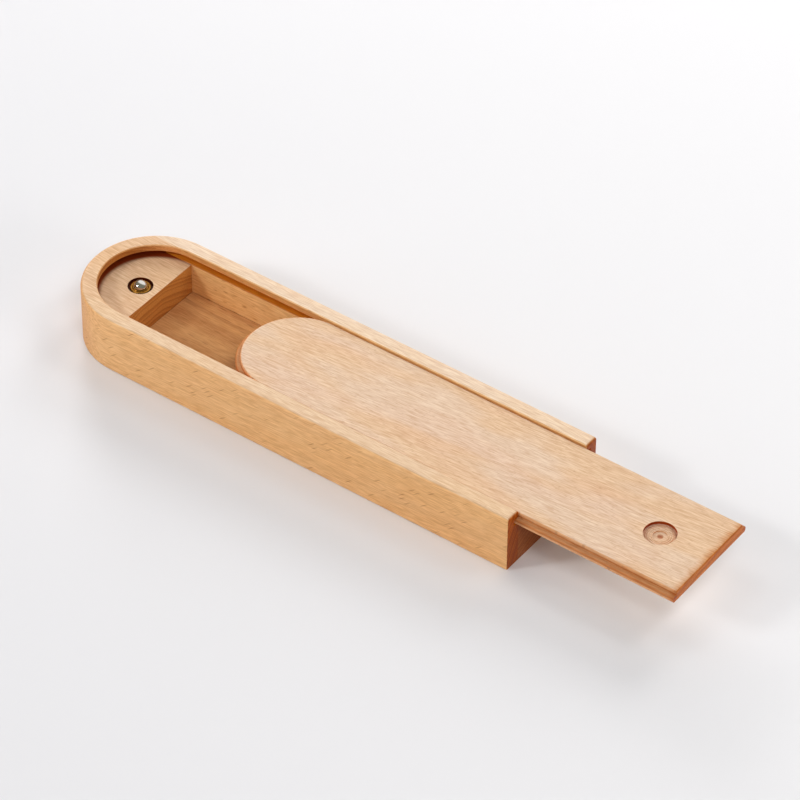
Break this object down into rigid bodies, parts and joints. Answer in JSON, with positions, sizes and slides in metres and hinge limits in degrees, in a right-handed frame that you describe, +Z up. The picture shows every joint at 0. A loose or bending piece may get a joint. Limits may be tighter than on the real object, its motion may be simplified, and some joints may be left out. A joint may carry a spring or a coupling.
{
  "type": "pencil box",
  "caption": "Slim wooden pencil box with one half-round end, a grooved sliding lid with a finger recess, and a sprung ball catch.",
  "frame": {"origin": "centre of the case's underside, half way along the case without the lid", "axes": "+X along the case towards its open square end, where the lid slides out; +Z up; +Y towards the side away from the camera"},
  "size_m": [0.3051, 0.061, 0.027],
  "materials": {
    "case_wood": "fine sanded beech, satin oiled",
    "floor_wood": "fine sanded beech, satin oiled",
    "lid_wood": "fine sanded beech, satin oiled",
    "brass": "turned, bright",
    "polished_steel": "polished",
    "spring_wire": "drawn wire"
  },
  "bodies": {
    "case": {"near_side_rail": "case_wood", "far_side_rail": "case_wood", "round_end_block": "case_wood", "open_end_wall": "case_wood", "floor_panel": "floor_wood", "catch_barrel": "brass", "catch_spring": "spring_wire"},
    "lid": {"sliding_lid": "lid_wood"},
    "ball": {"catch_ball": "polished_steel"}
  },
  "joints": [
    {"name": "lid_slide", "type": "slide", "parent": "case", "child": "lid", "axis": [1, 0, 0], "range_m": [-0.074, 0.153]},
    {"name": "catch_ball_travel", "type": "slide", "parent": "case", "child": "ball", "axis": [0, 0, -1], "range_m": [0, 0.0024], "stiffness_N_per_m": 1500, "springref_m": -0.002, "deforming": ["catch_spring"]}
  ]
}
